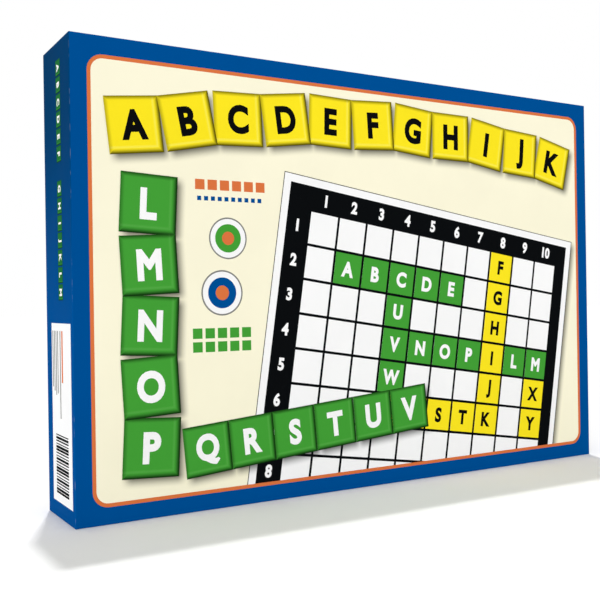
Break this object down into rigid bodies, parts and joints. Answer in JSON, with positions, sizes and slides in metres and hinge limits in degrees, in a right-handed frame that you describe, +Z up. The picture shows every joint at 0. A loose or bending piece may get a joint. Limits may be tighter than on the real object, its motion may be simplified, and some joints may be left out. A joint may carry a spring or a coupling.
{
  "type": "word board game",
  "caption": "Board game box standing on its long side: lid over base tray, with rules leaflet, folding board, formed insert, racks and letter tiles inside.",
  "frame": {"origin": "on the floor under the middle of the closed box, which stands on its long side", "axes": "+X along the box's long side, -Y out of the cover, +Z up"},
  "size_m": [0.372, 0.05, 0.25],
  "materials": {
    "lid_paper": "satin printed paper over greyboard",
    "base_paper": "satin paper over greyboard",
    "rules_paper": "matt uncoated paper",
    "board_paper": "satin printed paper over greyboard",
    "insert_plastic": "vacuum formed sheet with a soft sheen",
    "rack_plastic": "moulded, semi gloss",
    "yellow_plastic": "moulded, semi gloss",
    "green_plastic": "moulded, semi gloss"
  },
  "bodies": {
    "base": {"base_tray": "base_paper"},
    "lid": {"lid_cover": "lid_paper"},
    "leaflet": {"rules_leaflet": "rules_paper"},
    "board_front": {"board_front_leaf": "board_paper"},
    "board_rear": {"board_rear_leaf": "board_paper"},
    "insert": {"insert_tray": "insert_plastic", "yellow_tile_a": "yellow_plastic", "yellow_tile_b": "yellow_plastic", "yellow_tile_c": "yellow_plastic", "yellow_tile_d": "yellow_plastic", "yellow_tile_e": "yellow_plastic", "yellow_tile_f": "yellow_plastic", "yellow_tile_g": "yellow_plastic", "yellow_tile_h": "yellow_plastic", "yellow_tile_i": "yellow_plastic", "yellow_tile_j": "yellow_plastic", "yellow_tile_k": "yellow_plastic", "yellow_tile_l": "yellow_plastic", "yellow_tile_m": "yellow_plastic", "yellow_tile_n": "yellow_plastic", "yellow_tile_o": "yellow_plastic", "yellow_tile_p": "yellow_plastic", "yellow_tile_q": "yellow_plastic", "yellow_tile_r": "yellow_plastic", "yellow_tile_s": "yellow_plastic", "yellow_tile_t": "yellow_plastic", "yellow_tile_u": "yellow_plastic", "yellow_tile_v": "yellow_plastic", "yellow_tile_w": "yellow_plastic", "yellow_tile_x": "yellow_plastic", "green_tile_a": "green_plastic", "green_tile_b": "green_plastic", "green_tile_c": "green_plastic", "green_tile_d": "green_plastic", "green_tile_e": "green_plastic", "green_tile_f": "green_plastic", "green_tile_g": "green_plastic", "green_tile_h": "green_plastic", "green_tile_i": "green_plastic", "green_tile_j": "green_plastic", "green_tile_k": "green_plastic", "green_tile_l": "green_plastic", "green_tile_m": "green_plastic", "green_tile_n": "green_plastic", "green_tile_o": "green_plastic", "green_tile_p": "green_plastic", "green_tile_q": "green_plastic", "green_tile_r": "green_plastic", "green_tile_s": "green_plastic", "green_tile_t": "green_plastic", "green_tile_u": "green_plastic", "green_tile_v": "green_plastic", "green_tile_w": "green_plastic", "green_tile_x": "green_plastic"},
    "racks": {"rack_1": "rack_plastic", "rack_2": "rack_plastic", "rack_3": "rack_plastic", "rack_4": "rack_plastic"}
  },
  "joints": [
    {"name": "lid_slide", "type": "slide", "parent": "base", "child": "lid", "axis": [0, -1, 0], "range_m": [0, 0.93]},
    {"name": "leaflet_slide", "type": "slide", "parent": "base", "child": "leaflet", "axis": [0, -1, 0], "range_m": [0, 0.884]},
    {"name": "board_slide", "type": "slide", "parent": "base", "child": "board_front", "axis": [0, -1, 0], "range_m": [0, 0.838]},
    {"name": "board_fold", "type": "hinge", "parent": "board_front", "child": "board_rear", "pos_m": [0, -0.01965, 0.24465], "axis": [1, 0, 0], "range_deg": [0, 180]},
    {"name": "insert_slide", "type": "slide", "parent": "base", "child": "insert", "axis": [0, -1, 0], "range_m": [0, 0.0512]},
    {"name": "racks_slide", "type": "slide", "parent": "insert", "child": "racks", "axis": [0, -1, 0], "range_m": [0, 0.0234]}
  ],
  "couplings": [
    {"joint": "leaflet_slide", "follows": "lid_slide", "ratio": 0.95},
    {"joint": "board_slide", "follows": "lid_slide", "ratio": 0.9},
    {"joint": "board_fold", "follows": "lid_slide", "rad_per_m": 3.378},
    {"joint": "insert_slide", "follows": "lid_slide", "ratio": 0.055},
    {"joint": "racks_slide", "follows": "lid_slide", "ratio": 0.025}
  ]
}
